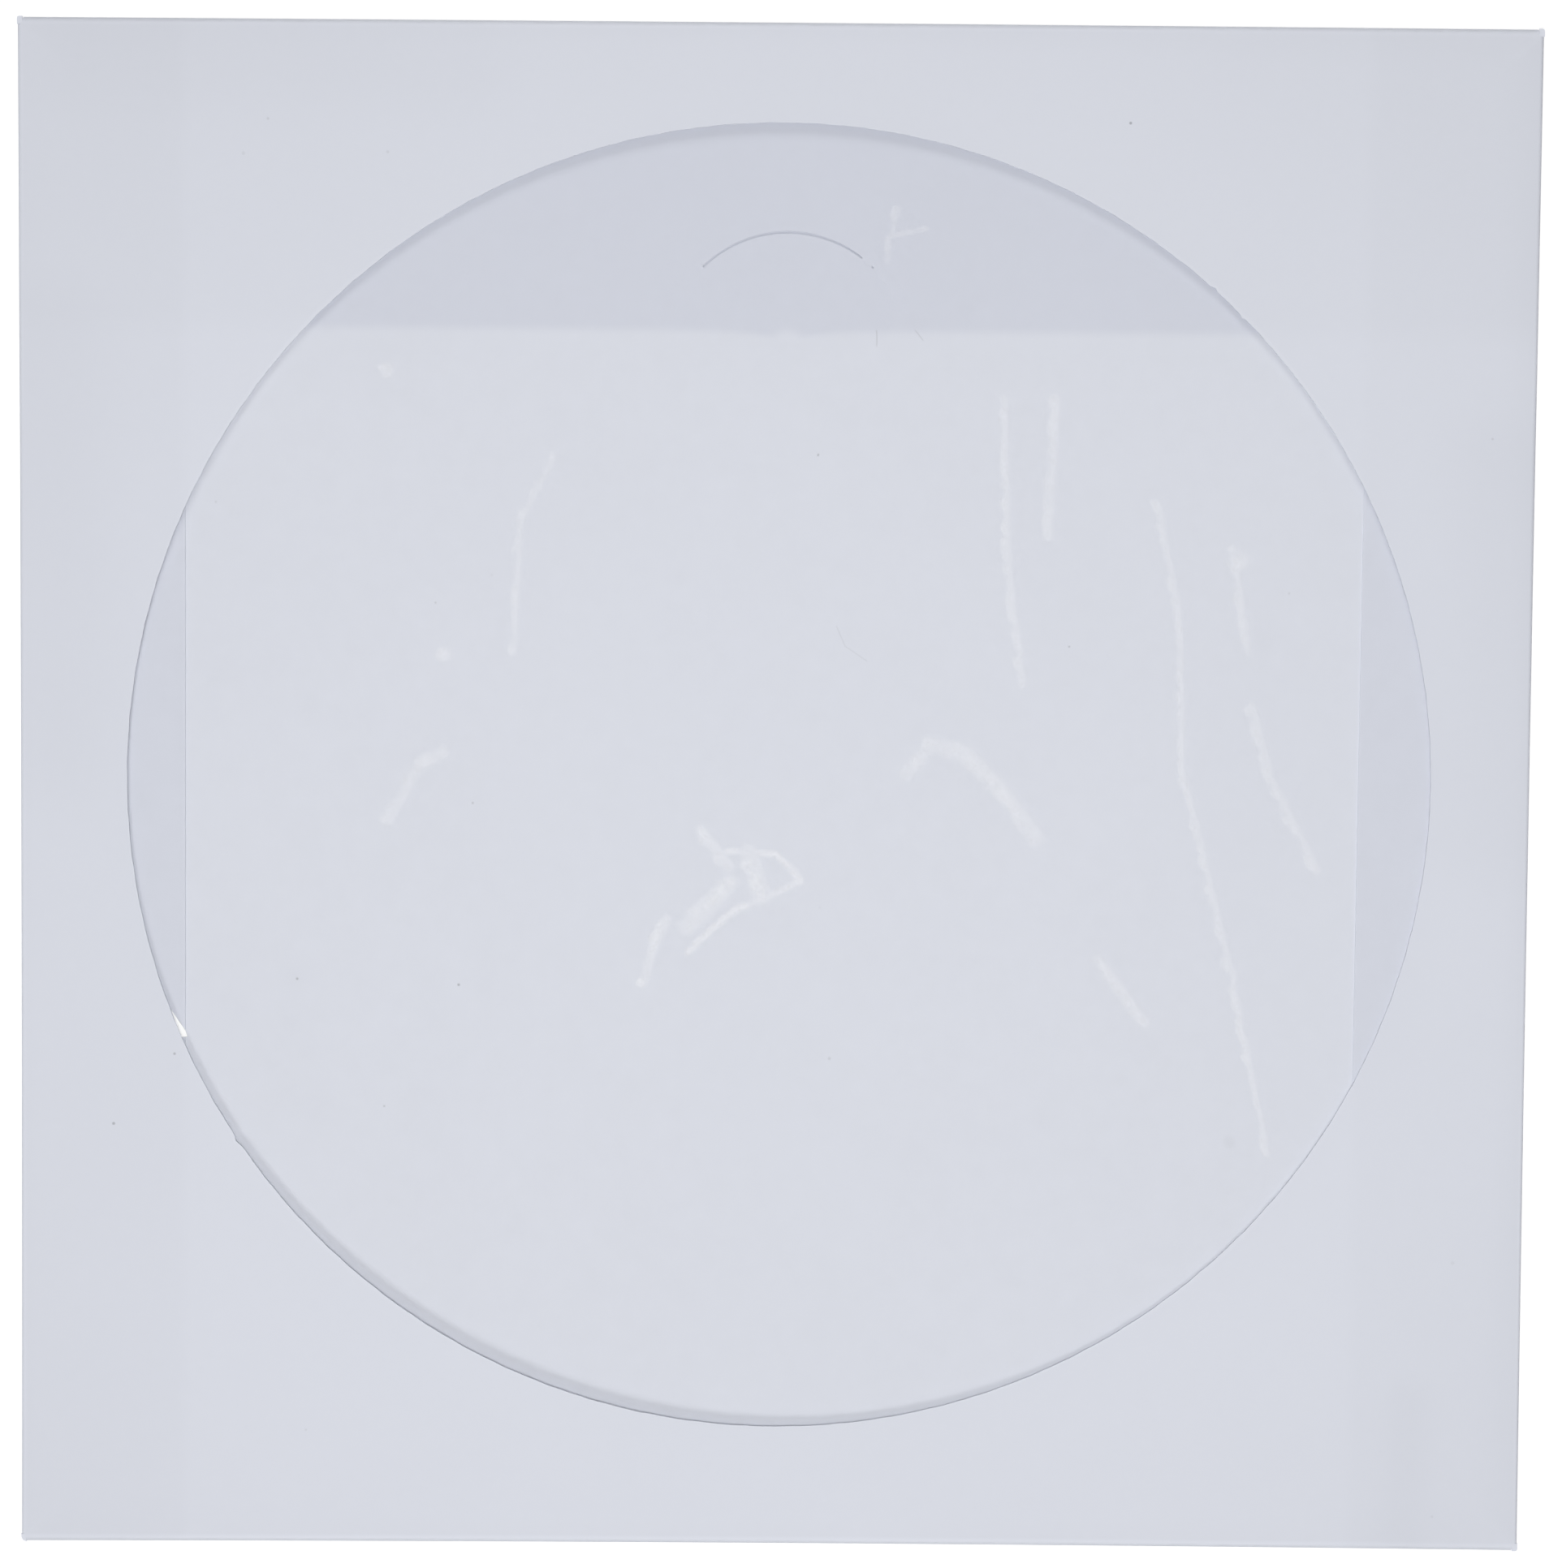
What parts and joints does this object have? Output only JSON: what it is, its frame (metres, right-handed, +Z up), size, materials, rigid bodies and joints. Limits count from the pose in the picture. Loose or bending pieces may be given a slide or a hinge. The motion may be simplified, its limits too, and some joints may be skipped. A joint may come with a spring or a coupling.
{
  "type": "window envelope",
  "caption": "White paper sleeve for a disc, with a large round clear film window, glued side flaps, a half-moon tuck cut in its back and a closing flap folded down behind it.",
  "frame": {"origin": "middle of the underside, on the surface that the sleeve lies on", "axes": "+Z up out of the window side, +Y towards the top fold with the closing flap, +X to the right as the window is looked at"},
  "size_m": [0.1238, 0.125, 0.0012],
  "materials": {
    "paper": null,
    "film": "thin clear film, glossy, with faint scratches and a light haze"
  },
  "bodies": {
    "root": {"paper_sleeve": "paper", "window_film": "film"}
  },
  "joints": []
}
